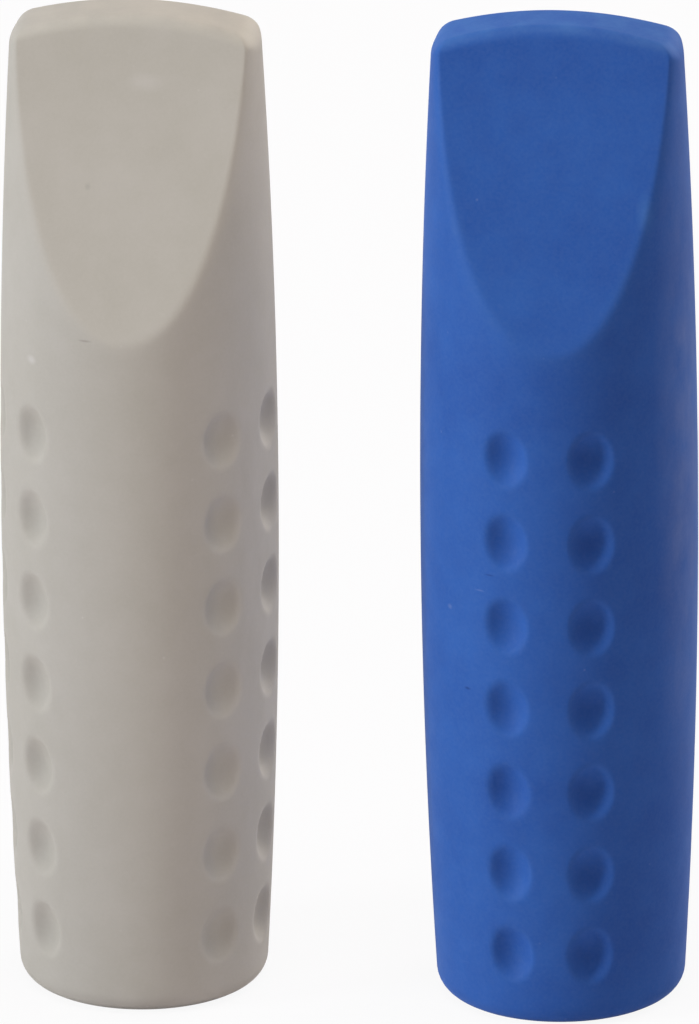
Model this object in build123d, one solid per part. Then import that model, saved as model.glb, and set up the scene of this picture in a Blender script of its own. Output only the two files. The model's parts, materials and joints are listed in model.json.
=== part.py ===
from build123d import *
from math import sqrt
import os

# Two rubber toppers that push onto the blunt end of a pencil, a grey and a blue one of the same mould.
# They stand on their open ends side by side along X, with +Z up and the origin midway on the ground.
# Sizes are in millimetres, angles in degrees.

# Barrel: the radius swells from both ends to a belly halfway up
topper_length = 44.5
belly_diameter = 12.0
belly_swell = 0.66
base_round = 0.9

# Tip: a crowned end between two flat facets that lean towards each other
crown_drop = 0.9
shoulder_round = 0.8
tip_thickness = 2.3
facet_length = 13.4
facet_round = 0.6

# Blind bore that grips the pencil
bore_diameter = 7.0
bore_depth = 19.0
bore_end_round = 1.0
mouth_chamfer = 0.25

# Grip dimples: oval hollows in pairs of columns, at angles from the middle of the smooth side
dimple_width = 1.95
dimple_height = 2.55
dimple_depth = 0.58
dimple_rows = 7
row_pitch = 3.83
lowest_row = 3.35
pair_angles = (62, 180, 298)
column_spread = 36.5

# The set: free space between the two bellies, and which way each smooth side faces about Z
standing_gap = 6.2
grey_smooth_side = -91
blue_smooth_side = 90.5

belly_radius = belly_diameter / 2
end_radius = belly_radius - belly_swell
half_length = topper_length / 2
side_arc_radius = (half_length**2 + belly_swell**2) / (2 * belly_swell)
from_below = (Align.CENTER, Align.CENTER, Align.MIN)


def barrel_radius(height):
    return belly_radius - side_arc_radius + sqrt(side_arc_radius**2 - (height - half_length) ** 2)


def turned_form():
    """Solid of revolution with a rounded base edge, swelling side, rounded shoulder and crowned end."""
    shoulder_height = topper_length - crown_drop
    base_corner = (end_radius, 0)
    shoulder = (barrel_radius(shoulder_height), shoulder_height)
    top = (0, topper_length)
    outline = Line((0, 0), base_corner)
    outline += ThreePointArc(base_corner, (belly_radius, half_length), shoulder)
    outline += TangentArc(top, shoulder, tangent=(1, 0))
    outline += Line(top, (0, 0))
    profile = make_face(outline)
    profile = fillet(profile.vertices().sort_by_distance(base_corner)[0], base_round)
    profile = fillet(profile.vertices().sort_by_distance(shoulder)[0], shoulder_round)
    return revolve(Plane.YZ * profile, Axis.Z)


def cut_facets(form):
    """Take both leaning flats off the upper end and round the edges that they leave."""
    half_tip = tip_thickness / 2
    lean = barrel_radius(topper_length - facet_length) - half_tip
    for side in (1, -1):
        facet_plane = Plane((side * half_tip, 0, topper_length), z_dir=(side * facet_length, 0, lean))
        form = split(form, facet_plane, keep=Keep.BOTTOM)
    facets = form.faces().filter_by(GeomType.PLANE).sort_by(Axis.Z)[1:]
    return fillet(facets.edges(), facet_round)


def pencil_core():
    """The shape of the blind bore: a pin with a rounded end and a flared mouth."""
    pin = Cylinder(bore_diameter / 2, bore_depth, align=from_below)
    pin = fillet(pin.edges().sort_by(Axis.Z)[-1], bore_end_round)
    mouth = Cone(bore_diameter / 2 + mouth_chamfer, bore_diameter / 2, mouth_chamfer, align=from_below)
    return pin + mouth


def dimple_cutters():
    """One upright spheroid for each dimple, sunk into the barrel to the dimple's depth."""
    half_width = dimple_width / 2
    sag = belly_radius - sqrt(belly_radius**2 - half_width**2)
    bite = dimple_depth - sag
    cutter_radius = (bite**2 + half_width**2) / (2 * bite)
    reach = 1 - dimple_depth / cutter_radius
    cutter_height = dimple_height / 2 / sqrt(1 - reach**2)
    inner_half = EllipticalCenterArc((0, 0), cutter_radius, cutter_height, start_angle=90, arc_size=180)
    cutter = revolve(Plane.XZ * make_face(inner_half + Line(inner_half @ 1, inner_half @ 0)), Axis.Z)
    cutters = []
    for pair_angle in pair_angles:
        for column_angle in (pair_angle - column_spread / 2, pair_angle + column_spread / 2):
            for row in range(dimple_rows):
                height = lowest_row + row * row_pitch
                out = barrel_radius(height) - dimple_depth + cutter_radius
                cutters.append(Rot(Z=column_angle) * Pos(out, 0, height) * cutter)
    return cutters


def topper():
    """One moulding, standing on its open end with its smooth side towards +X."""
    return cut_facets(turned_form()) - pencil_core() - dimple_cutters()


moulding = topper()
place = (belly_diameter + standing_gap) / 2
toppers = {
    "grey_topper": Pos(X=-place) * Rot(Z=grey_smooth_side) * moulding,
    "blue_topper": Pos(X=place) * Rot(Z=blue_smooth_side) * moulding,
}

os.makedirs("parts", exist_ok=True)
for name, solid in toppers.items():
    export_step(solid, f"parts/{name}.step")
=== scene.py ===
import json
from math import acos, atan, atan2, cos, hypot, pi, radians, sin, sqrt
import bmesh
import bpy
from mathutils import Matrix, Vector

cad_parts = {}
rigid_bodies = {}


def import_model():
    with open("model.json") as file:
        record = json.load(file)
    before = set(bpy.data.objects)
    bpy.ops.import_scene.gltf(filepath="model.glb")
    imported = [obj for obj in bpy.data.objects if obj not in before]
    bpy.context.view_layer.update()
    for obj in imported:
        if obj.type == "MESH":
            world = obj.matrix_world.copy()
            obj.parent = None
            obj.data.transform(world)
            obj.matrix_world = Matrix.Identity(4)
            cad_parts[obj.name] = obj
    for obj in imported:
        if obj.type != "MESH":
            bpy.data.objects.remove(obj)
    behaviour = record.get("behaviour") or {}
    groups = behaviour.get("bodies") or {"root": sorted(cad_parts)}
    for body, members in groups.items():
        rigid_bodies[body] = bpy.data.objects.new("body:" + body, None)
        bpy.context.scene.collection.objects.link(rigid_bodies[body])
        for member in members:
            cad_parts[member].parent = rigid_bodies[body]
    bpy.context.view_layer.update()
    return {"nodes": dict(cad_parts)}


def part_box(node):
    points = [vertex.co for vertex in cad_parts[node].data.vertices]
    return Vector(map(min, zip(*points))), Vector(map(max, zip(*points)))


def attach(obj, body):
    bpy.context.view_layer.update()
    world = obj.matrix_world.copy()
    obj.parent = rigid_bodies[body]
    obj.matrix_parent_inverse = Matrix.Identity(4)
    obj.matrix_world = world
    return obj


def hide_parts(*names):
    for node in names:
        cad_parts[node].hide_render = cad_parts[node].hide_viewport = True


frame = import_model()
mm = 0.001
tolerance = 0.001       # lengths in millimetres that count as none
print("frame loaded:", ", ".join(sorted(frame["nodes"])))


class Shade:
    # a node socket that takes part in sums, so that masks read as arithmetic

    def __init__(self, tree, socket=None):
        self.tree = tree
        self.socket = socket

    def node(self, kind, settings, sockets, output=0):
        made = self.tree.nodes.new(kind)
        for name, value in settings.items():
            setattr(made, name, value)
        for name, value in sockets.items():
            if isinstance(value, Shade):
                self.tree.links.new(value.socket, made.inputs[name])
            else:
                made.inputs[name].default_value = value
        return Shade(self.tree, made.outputs[output] if made.outputs else None)

    def maths(self, operation, first, second):
        return self.node("ShaderNodeMath", {"operation": operation}, {0: first, 1: second})

    def __add__(self, other):
        return self.maths("ADD", self, other)

    def __radd__(self, other):
        return self.maths("ADD", other, self)

    def __sub__(self, other):
        return self.maths("SUBTRACT", self, other)

    def __rsub__(self, other):
        return self.maths("SUBTRACT", other, self)

    def __mul__(self, other):
        return self.maths("MULTIPLY", self, other)

    def __rmul__(self, other):
        return self.maths("MULTIPLY", other, self)


def emptyTree(owner):
    owner.use_nodes = True
    owner.node_tree.nodes.clear()
    return Shade(owner.node_tree)


def newMaterial(name):
    material = bpy.data.materials.new(name)
    return material, emptyTree(material)


def addObject(name, data):
    added = bpy.data.objects.new(name, data)
    bpy.context.scene.collection.objects.link(added)
    return added


def tint(red, green, blue):
    # a colour as a screen shows it, each part from 0 to 255, made linear for the shaders
    return (*(((part / 255 + 0.055) / 1.055) ** 2.4 for part in (red, green, blue)), 1)


def baseMiddle(node):
    low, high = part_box(node)
    return Vector(((low[0] + high[0]) / 2, (low[1] + high[1]) / 2, low[2]))


# Topper moulding, in millimetres about its own axis, on its open end with the smooth side towards +X
topperForm = {
    "bellySwell": 0.66,       # each end is this much slimmer than the belly, in radius
    "baseRound": 0.9,
    "crownDrop": 0.9,         # fall of the crowned end from its middle to its shoulders
    "crownFade": 6.0,         # depth below the tip over which the crown dies out
    "shoulderRound": 0.8,     # edge of the end at the shoulders
    "tipRound": 0.5,          # and along the facets
    "tightFrom": 0.1,         # where that edge starts to tighten, from the shoulders towards the facets
    "tightOver": 0.2,         # and how much further on it is tight
    "rowSpread": 3,           # shoulder rounds below the tip within which rows of faces shift for it
    "tipThickness": 2.65,
    "facetLength": 13.4,
    "facetRound": 1.1,        # edge of the facets at their foot
    "facetTipRound": 0.6,     # and at the tip
    "facetSink": 0.14,        # hollow that the thick tip leaves in each facet as it cools
    "boreRadius": 3.5,
    "boreDepth": 19.0,
    "boreEndRound": 1.0,
    "mouthChamfer": 0.25,
    "turnSteps": 240,
    "roundSteps": 8,
    "skinRow": 0.17,          # spacing of the rows of faces outside
    "boreRow": 1.2,           # and in the bore
    "wearBand": 0.7,          # reach of the rubbed edges
    "wearFade": 12,           # how steeply the rubbing dies out towards the middle of the end
    "facetWear": 0.4,         # rubbing of the facets' edges, where the end's edge has 1
}

gripDimples = {
    "width": 1.95,
    "height": 2.55,
    "depth": 0.52,
    "rimSoftness": 0.15,
    "rimWear": 0.15,
    "rows": 7,
    "pitch": 3.83,
    "lowest": 3.35,
    "pairs": ((60.5, 33), (180, 36.5), (299.5, 33)),      # middle and spread of each pair of columns
}
dimpleColumns = [
    radians(middle + side * spread / 2) for middle, spread in gripDimples["pairs"] for side in (-1, 1)
]


def softLeast(first, second, width):
    # the lesser of two values, with the corner between them rounded over the width
    overlap = max(width - abs(first - second), 0) / width
    return min(first, second) - overlap**2 * width / 4


def easeIn(value):
    value = min(max(value, 0), 1)
    return value * value * (3 - 2 * value)


def barrelRadius(height, length, belly):
    swell, half = topperForm["bellySwell"], length / 2
    arcRadius = (half**2 + swell**2) / (2 * swell)
    return belly - arcRadius + sqrt(arcRadius**2 - (height - half) ** 2)


def turnedBlank(length, belly):
    # bore, base, straight side and flat top as one turned skin, from a line of corners and their rounds
    form = topperForm
    bore, depth, chamfer = form["boreRadius"], form["boreDepth"], form["mouthChamfer"]
    corners = (
        ((0, depth), None),
        ((bore, depth), "boreEndRound"),
        ((bore, chamfer), None),
        ((bore + chamfer, 0), None),
        ((belly, 0), "baseRound"),
        ((belly, length), "shoulderRound"),
        ((0, length), None),
    )
    bm = bmesh.new()
    verts = [bm.verts.new((radius, 0, height)) for (radius, height), rounding in corners]
    for pair in zip(verts, verts[1:]):
        bm.edges.new(pair)
    for vert, (place, rounding) in zip(verts, corners):
        if rounding:
            bmesh.ops.bevel(bm, geom=[vert], offset=form[rounding], segments=form["roundSteps"],
                            profile=0.5, affect="VERTICES", material=-1)
    for edge in list(bm.edges):
        inBore = max(v.co.x for v in edge.verts) <= bore
        cuts = int(edge.calc_length() / form["boreRow" if inBore else "skinRow"])
        if cuts:
            bmesh.ops.subdivide_edges(bm, edges=[edge], cuts=cuts)
    bmesh.ops.spin(bm, geom=bm.verts[:] + bm.edges[:], cent=(0, 0, 0), axis=(0, 0, 1), angle=2 * pi,
                   steps=form["turnSteps"], use_merge=True)
    bmesh.ops.remove_doubles(bm, verts=bm.verts, dist=tolerance / 2)
    bmesh.ops.recalc_face_normals(bm, faces=bm.faces)
    return bm


def trimFacets(x, y, z, length, belly, rounding):
    # pulls a point of the turned skin in to the nearer facet, and says how close the facet's edge is
    form = topperForm
    halfTip = form["tipThickness"] / 2
    lean = (barrelRadius(length - form["facetLength"], length, belly) - halfTip) / form["facetLength"]
    side = barrelRadius(z, length, belly)
    shoulder = form["shoulderRound"] * side / belly
    radius = hypot(x, y)
    inset = min(max(side - radius, 0), shoulder) * rounding
    share = min(1, radius / (side - shoulder))      # falls to nothing in the middle of the end
    down = min((length - z) / form["facetLength"], 1)
    sink = form["facetSink"] * 4 * down * (1 - down)
    edgeRound = form["facetTipRound"] + (form["facetRound"] - form["facetTipRound"]) * down**2
    limit = (halfTip + (length - z) * lean - sink - inset) * share
    turn = acos(abs(x) / max(radius, tolerance) * cos(atan(lean)))      # between the facet and the barrel
    corner = 4 * edgeRound * (1 / cos(turn / 2) - 1) / cos(turn / 2) * share
    closeness = 1 - abs(abs(x) - limit) / (form["wearBand"] * sin(turn) + tolerance)
    trimmed = softLeast(abs(x), limit, max(min(corner, limit), tolerance / 10))
    return (trimmed if x > 0 else -trimmed), max(closeness, 0) * share ** form["wearFade"]


def dimpleDepth(angle, z, radius):
    # how deep the dimple is at a point of the barrel, as a share of its depth, and how close its rim is
    grip = gripDimples
    aside = min(abs((angle - column + pi) % (2 * pi) - pi) for column in dimpleColumns) * radius
    row = min(max(round((z - grip["lowest"]) / grip["pitch"]), 0), grip["rows"] - 1)
    above = z - grip["lowest"] - row * grip["pitch"]
    inside = 1 - hypot(2 * aside / grip["width"], 2 * above / grip["height"]) ** 2
    soft = grip["rimSoftness"]
    depth = inside if inside > soft else max(inside + soft, 0) ** 2 / (4 * soft)
    return depth, max(1 - abs(inside) / (2 * soft), 0)


def tipRounding(x, y):
    # how much tighter the edge of the end is here than at the shoulders
    form = topperForm
    across = abs(x) / max(hypot(x, y), tolerance)
    tight = easeIn((across - form["tightFrom"]) / form["tightOver"])
    return 1 - (1 - form["tipRound"] / form["shoulderRound"]) * tight


def swelledRadius(radius, z, length, belly):
    # the side follows the barrel, and the flat ring of the base closes up around the bore's mouth
    mouth = topperForm["boreRadius"] + topperForm["mouthChamfer"]
    ring = belly - topperForm["baseRound"]
    swell = barrelRadius(z, length, belly) / belly
    if z > tolerance or radius > ring:
        return radius * swell
    return mouth + (radius - mouth) * (ring * swell - mouth) / (ring - mouth)


def shapeTopper(bm, length, belly):
    form = topperForm
    shoulder, spread = form["shoulderRound"], form["rowSpread"]
    mouth = form["boreRadius"] + form["mouthChamfer"] + tolerance
    edgeWear = bm.verts.layers.float.new("edgeWear")
    hollow = bm.verts.layers.float.new("hollow")
    for vert in bm.verts:
        x, y, z = vert.co
        if z <= form["boreDepth"] and hypot(x, y) <= mouth:
            continue
        below = length - z
        tipWear = easeIn(1 - below / shoulder)
        rounding = tipRounding(x, y)
        if below < spread * shoulder:
            # rows of the rounded edge close up where the edge is tight, and those beneath spread out
            stretch = max(below - shoulder, 0) * (spread - spread * rounding) / (spread - 1)
            below = below * rounding + stretch
        z = length - below
        z -= form["crownDrop"] * (y / belly) ** 2 * easeIn(1 - below / form["crownFade"])
        angle, radius = atan2(y, x), swelledRadius(hypot(x, y), z, length, belly)
        x, y = radius * cos(angle), radius * sin(angle)
        depth, rim = dimpleDepth(angle, z, radius)
        x, facetEdge = trimFacets(x, y, z, length, belly, rounding)
        sunk = depth * gripDimples["depth"]
        vert.co = (x - sunk * cos(angle), y - sunk * sin(angle), z)
        vert[edgeWear] = max(tipWear, facetEdge * form["facetWear"], rim * gripDimples["rimWear"])
        vert[hollow] = depth


def buildMoulding(node):
    low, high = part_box(node)
    length, belly = (high[2] - low[2]) / mm, (high[0] - low[0]) / 2 / mm
    bm = turnedBlank(length, belly)
    shapeTopper(bm, length, belly)
    print("moulding has", len(bm.verts), "points")
    return bm


# The toppers: what each skin stands in for, and which way its smooth side faces, in degrees about +Z
greyTopper = {"node": "grey_topper", "body": "grey", "slot": "grey_rubber", "smoothSide": -91}
blueTopper = {"node": "blue_topper", "body": "blue", "slot": "blue_rubber", "smoothSide": 90.5}


def buildTopper(name, topper, moulding, material):
    bm = moulding.copy()
    place = Matrix.Translation(baseMiddle(topper["node"]))
    turn = Matrix.Rotation(radians(topper["smoothSide"]), 4, "Z")
    bmesh.ops.transform(bm, matrix=place @ turn @ Matrix.Scale(mm, 4), verts=bm.verts)
    for face in bm.faces:
        face.smooth = True
    mesh = bpy.data.meshes.new(name)
    bm.to_mesh(mesh)
    bm.free()
    mesh.materials.append(material)
    piece = addObject(name, mesh)
    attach(piece, topper["body"])
    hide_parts(topper["node"])
    print(name, "rides on", topper["body"])


# Rubber: matt, a little chalky, faintly clouded, with rubbed edges, a few marks and painted shade in the
# dimples, in millimetres.
# A film, partly chalk and partly painted light on each topper's right side, or a mark lies from the
# middle of the topper's base, with half sizes, and blends into its colour
greyRubber = {
    "base": (179, 174, 165),
    "cloud": (174, 169, 159),
    # the dust colour is also the colour of the painted light on the right side
    "dustAndPaintedLight": (208, 205, 201),
    "worn": (214, 208, 196),
    # the speck colour is also the colour of the painted shade in the dimples
    "speckAndPaintedShade": (122, 116, 110),
    "wear": 0.22,
    "hollows": {"colour": "speckAndPaintedShade", "share": 0.04},      # painted shade in the dimples, darker with their depth
    "seed": 0.0,
    # partly chalk film, partly painted light that lightens the right side, which stands in the blue
    # topper's shade
    "chalkAndPaintedLight": {"at": (5.2, -2.6, 20), "reach": (2.2, 3.4, 20), "colour": "dustAndPaintedLight", "share": 0.24},
    "marks": (
        {"at": (-1.74, -3.6, 37.5), "reach": (0.16, 0.5, 0.2), "colour": "speckAndPaintedShade", "share": 0.2},
        {"at": (0.68, -2.1, 41.8), "reach": (1.0, 0.7, 0.5), "colour": "dustAndPaintedLight", "share": 0.15},
        {"at": (-4.19, -4.2, 29.75), "reach": (0.35, 0.35, 0.25), "colour": "dustAndPaintedLight", "share": 0.4},
        {"at": (-1.69, -5.6, 31.2), "reach": (0.4, 0.3, 0.07), "colour": "speckAndPaintedShade", "share": 0.4},
    ),
}

blueRubber = {
    "base": (50, 96, 172),
    "cloud": (45, 87, 162),
    # the dust colour is also the colour of the painted rim light on the right side
    "dustAndPaintedLight": (136, 150, 190),
    "worn": (96, 146, 204),
    # the speck colour is also the colour of the painted shade in the dimples
    "speckAndPaintedShade": (28, 54, 112),
    "wear": 0.3,
    # painted shade in the dimples
    "hollows": {"colour": "speckAndPaintedShade", "share": 0.07},
    "seed": 3.0,
    # chalk streaks with painted rim light along the right side
    "chalkAndPaintedLight": {"at": (5.8, -1.8, 26), "reach": (1.8, 3.4, 20), "colour": "dustAndPaintedLight", "share": 0.33},
    "marks": (
        {"at": (4.08, -3.75, 37.1), "reach": (0.45, 0.6, 1.1), "colour": "worn", "share": 0.18},
        {"at": (-2.97, -5.2, 20.1), "reach": (0.3, 0.3, 0.06), "colour": "dustAndPaintedLight", "share": 0.22},
        {"at": (-2.51, -5.4, 20.9), "reach": (0.3, 0.3, 0.06), "colour": "speckAndPaintedShade", "share": 0.45},
        {"at": (-3.55, -4.7, 15.4), "reach": (0.2, 0.3, 0.09), "colour": "speckAndPaintedShade", "share": 0.6},
        {"at": (-4.39, -4.1, 18.9), "reach": (0.2, 0.2, 0.15), "colour": "dustAndPaintedLight", "share": 0.25},
    ),
}

# What both rubbers have in common. A range is where a look sets in and where it is full
rubberGrain = {
    "clouds": {"size": 5.0, "detail": 3},
    "mottle": {"size": 1.1, "detail": 4},
    "fine": {"size": 0.14, "detail": 3},
    "streaks": {"size": 0.8, "detail": 4},
    "streakStretch": 2.5,         # along the barrel
    "cloudShare": 0.6,            # the rest of the clouding is mottle
    "cloudRange": (0.35, 0.65),
    "fineRange": (0.35, 0.75),
    "fineDust": 0.06,
    "streakShare": 0.6,           # the rest of the film of chalk and painted light is mottle
    "chalkAndPaintedLightRange": (0.3, 0.66),
    "wearRange": (0.3, 0.7),
    "markRange": (1, 0.25),       # from the middle of a mark, in its half sizes
    "speckSpacing": 1.7,
    "speckSize": 0.08,
    "speckRange": (0.55, 0.65),
    "speckDust": 0.3,
    "roughness": 0.58,
    "mottleRoughness": 0.12,
    "filmRoughness": 0.3,
    "specular": 0.08,
    "bumpHeight": 0.02,
    "bumpStrength": 0.4,
    "bumpFineShare": 0.5,         # the rest of the bump is mottle
}
noiseMiddle = 0.5       # what a noise comes to on average


def noise(place, pattern, seed):
    scale, detail = 1 / pattern["size"], pattern["detail"]
    return place.node("ShaderNodeTexNoise", {"noise_dimensions": "4D"},
                      {"Vector": place, "W": seed, "Scale": scale, "Detail": detail})


def shared(first, second, share):
    return first * share + second * (1 - share)


def blend(mask, below, above):
    return mask.node("ShaderNodeMix", {"data_type": "RGBA"}, {0: mask, 6: below, 7: above}, 2)


def ramp(value, low, high):
    return value.node("ShaderNodeMapRange", {}, {"Value": value, "From Min": low, "From Max": high})


def measuredFrom(place, middle, unit):
    return place.node("ShaderNodeMapping", {"vector_type": "TEXTURE"},
                      {"Vector": place, "Location": middle, "Scale": unit})


def patch(place, spot):
    # an oval with a soft border
    inside = measuredFrom(place, spot["at"], spot["reach"])
    away = place.node("ShaderNodeVectorMath", {"operation": "LENGTH"}, {0: inside}, "Value")
    return ramp(away, *rubberGrain["markRange"]) * spot["share"]


def specks(place):
    # round specks of chalk, in about a third of the cells that reach the surface
    spacing = rubberGrain["speckSpacing"]
    cells = {"Vector": place, "Scale": 1 / spacing}
    away = place.node("ShaderNodeTexVoronoi", {}, cells, "Distance")
    chance = place.node("ShaderNodeTexVoronoi", {}, cells, "Color")
    return ramp(away * spacing, rubberGrain["speckSize"], 0) * ramp(chance, *rubberGrain["speckRange"])


def rubber(name, look, node):
    grain, seed = rubberGrain, look["seed"]
    material, at = newMaterial(name)
    place = measuredFrom(at.node("ShaderNodeTexCoord", {}, {}, "Object"), baseMiddle(node), (mm, mm, mm))
    upright = measuredFrom(place, (0, 0, 0), (1, 1, grain["streakStretch"]))
    clouds = noise(place, grain["clouds"], seed)
    mottle = noise(place, grain["mottle"], seed)
    fine = noise(place, grain["fine"], seed)
    streaks = noise(upright, grain["streaks"], seed)
    wear = at.node("ShaderNodeAttribute", {"attribute_name": "edgeWear"}, {}, "Fac")
    hollow = at.node("ShaderNodeAttribute", {"attribute_name": "hollow"}, {}, "Fac")
    # the film: chalk streaks on the right side, which also paint the light that falls there
    streakBreakup = ramp(shared(streaks, mottle, grain["streakShare"]), *grain["chalkAndPaintedLightRange"])
    chalkAndPaintedLight = patch(place, look["chalkAndPaintedLight"]) * streakBreakup
    clouded = ramp(shared(clouds, mottle, grain["cloudShare"]), *grain["cloudRange"])
    layers = [
        (ramp(fine, *grain["fineRange"]) * grain["fineDust"], "dustAndPaintedLight"),
        # painted shade: darker with the dimples' depth
        (hollow * look["hollows"]["share"], look["hollows"]["colour"]),
        # chalk film together with painted light on the right side
        (chalkAndPaintedLight, look["chalkAndPaintedLight"]["colour"]),
        (specks(place) * grain["speckDust"], "dustAndPaintedLight"),
        (wear * ramp(mottle, *grain["wearRange"]) * look["wear"], "worn"),
    ]
    layers += [(patch(place, spot), spot["colour"]) for spot in look["marks"]]
    colour = blend(clouded, tint(*look["base"]), tint(*look["cloud"]))
    for mask, paint in layers:
        colour = blend(mask, colour, tint(*look[paint]))
    uneven = (mottle - noiseMiddle) * grain["mottleRoughness"] + chalkAndPaintedLight * grain["filmRoughness"]
    bump = at.node("ShaderNodeBump", {}, {
        "Height": shared(fine, mottle, grain["bumpFineShare"]),
        "Distance": grain["bumpHeight"] * mm,
        "Strength": grain["bumpStrength"],
    })
    skin = at.node("ShaderNodeBsdfPrincipled", {}, {
        "Base Color": colour,
        "Roughness": grain["roughness"] + uneven,
        "Normal": bump,
        "Specular IOR Level": grain["specular"],
    })
    at.node("ShaderNodeOutputMaterial", {}, {"Surface": skin})
    return material


moulding = buildMoulding(greyTopper["node"])
greySkin = rubber("greyRubber", greyRubber, greyTopper["node"])
blueSkin = rubber("blueRubber", blueRubber, blueTopper["node"])
buildTopper("greyTopperSkin", greyTopper, moulding, greySkin)
buildTopper("blueTopperSkin", blueTopper, moulding, blueSkin)
moulding.free()
print("toppers built")

# Stage, in metres
studio = {
    "floorSize": 4.0,
    "floorColour": (228, 223, 226),
    "floorGlow": 0.92,        # share of the floor that shows as plain white, the rest keeps the shadow
    "skyColour": (1.0, 0.8, 0.98, 1),
    "skyLevel": 0.15,
}
plainWhite = {"Color": (1, 1, 1, 1), "Strength": 1}
directRays = ("Is Camera Ray", "Is Glossy Ray", "Is Transmission Ray")


def seenDirectly(at):
    camera, glossy, transmission = [at.node("ShaderNodeLightPath", {}, {}, ray) for ray in directRays]
    return camera + glossy + transmission


def buildFloor():
    bm = bmesh.new()
    bmesh.ops.create_grid(bm, x_segments=1, y_segments=1, size=studio["floorSize"] / 2)
    mesh = bpy.data.meshes.new("floor")
    bm.to_mesh(mesh)
    bm.free()
    material, at = newMaterial("paleFloor")
    matt = at.node("ShaderNodeBsdfDiffuse", {}, {"Color": tint(*studio["floorColour"])})
    white = at.node("ShaderNodeEmission", {}, plainWhite)
    glow = seenDirectly(at) * studio["floorGlow"]
    surface = at.node("ShaderNodeMixShader", {}, {0: glow, 1: matt, 2: white})
    at.node("ShaderNodeOutputMaterial", {}, {"Surface": surface})
    mesh.materials.append(material)
    addObject("floor", mesh)


def buildSky():
    world = bpy.data.worlds.new("studioSky")
    bpy.context.scene.world = world
    at = emptyTree(world)
    paint = {"Color": studio["skyColour"], "Strength": studio["skyLevel"]}
    light = at.node("ShaderNodeBackground", {}, paint)
    white = at.node("ShaderNodeBackground", {}, plainWhite)
    surface = at.node("ShaderNodeMixShader", {}, {0: seenDirectly(at), 1: light, 2: white})
    at.node("ShaderNodeOutputWorld", {}, {"Surface": surface})


# Lamps, by direction from the toppers: azimuth 0 is towards -Y, the camera's side, and 90 towards +X.
# Level 1 lights a surface that faces the lamp fully
lamps = {
    "keyLamp": {"azimuth": -66, "elevation": 14, "size": 0.14, "level": 0.74, "colour": (0.89, 0.97, 1)},
    "topLamp": {"azimuth": 0, "elevation": 82, "size": 0.3, "level": 0.56, "colour": (1, 0.98, 0.95)},
    "rimLamp": {"azimuth": 136, "elevation": 25, "size": 0.3, "level": 0.54, "colour": (1, 0.95, 0.9)},
    # lights the side of the grey topper that stands in the blue one's shade
    "fillLamp": {"azimuth": 60, "elevation": 20, "size": 0.2, "level": 0.27, "colour": (1, 0.97, 0.8),
                 "only": "greyTopperSkin"},
}
lampDistance = 0.6


def direction(azimuth, elevation):
    a, e = radians(azimuth), radians(elevation)
    return Vector((sin(a) * cos(e), -cos(a) * cos(e), sin(e)))


def buildLamps(target):
    fullEnergy = (pi * lampDistance) ** 2
    for name, lamp in lamps.items():
        light = bpy.data.lights.new(name, "AREA")
        light.size = lamp["size"]
        light.energy = lamp["level"] * fullEnergy
        light.color = lamp["colour"]
        heading = direction(lamp["azimuth"], lamp["elevation"])
        lampObject = addObject(name, light)
        lampObject.location = target + heading * lampDistance
        lampObject.rotation_euler = heading.to_track_quat("Z", "Y").to_euler()
        if "only" in lamp:
            reach = bpy.data.collections.new(name + "Reach")
            reach.objects.link(bpy.data.objects[lamp["only"]])
            lampObject.light_linking.receiver_collection = reach


photoCamera = {
    "azimuth": 5.7,
    "elevation": 20.7,
    "roll": -0.4,
    "distance": 1.2,
    "aimHeight": 21.56 * mm,
    "viewHeight": 44.24 * mm,       # what the picture's height takes in at the aim
}


def buildCamera():
    view = photoCamera
    aim = Vector((0, 0, view["aimHeight"]))
    heading = direction(view["azimuth"], view["elevation"])
    camera = bpy.data.cameras.new("photoCamera")
    # the sensor's width lies along the picture's height, which is its longer side
    camera.lens = camera.sensor_width * view["distance"] / view["viewHeight"]
    cameraObject = addObject("photoCamera", camera)
    cameraObject.location = aim + heading * view["distance"]
    roll = Matrix.Rotation(radians(view["roll"]), 3, "Z")
    cameraObject.rotation_euler = (heading.to_track_quat("Z", "Y").to_matrix() @ roll).to_euler()
    bpy.context.scene.camera = cameraObject
    return aim


buildFloor()
buildSky()
aim = buildCamera()
buildLamps(aim)
bpy.context.scene.view_settings.view_transform = "Standard"
print("stage, lamps and camera set")
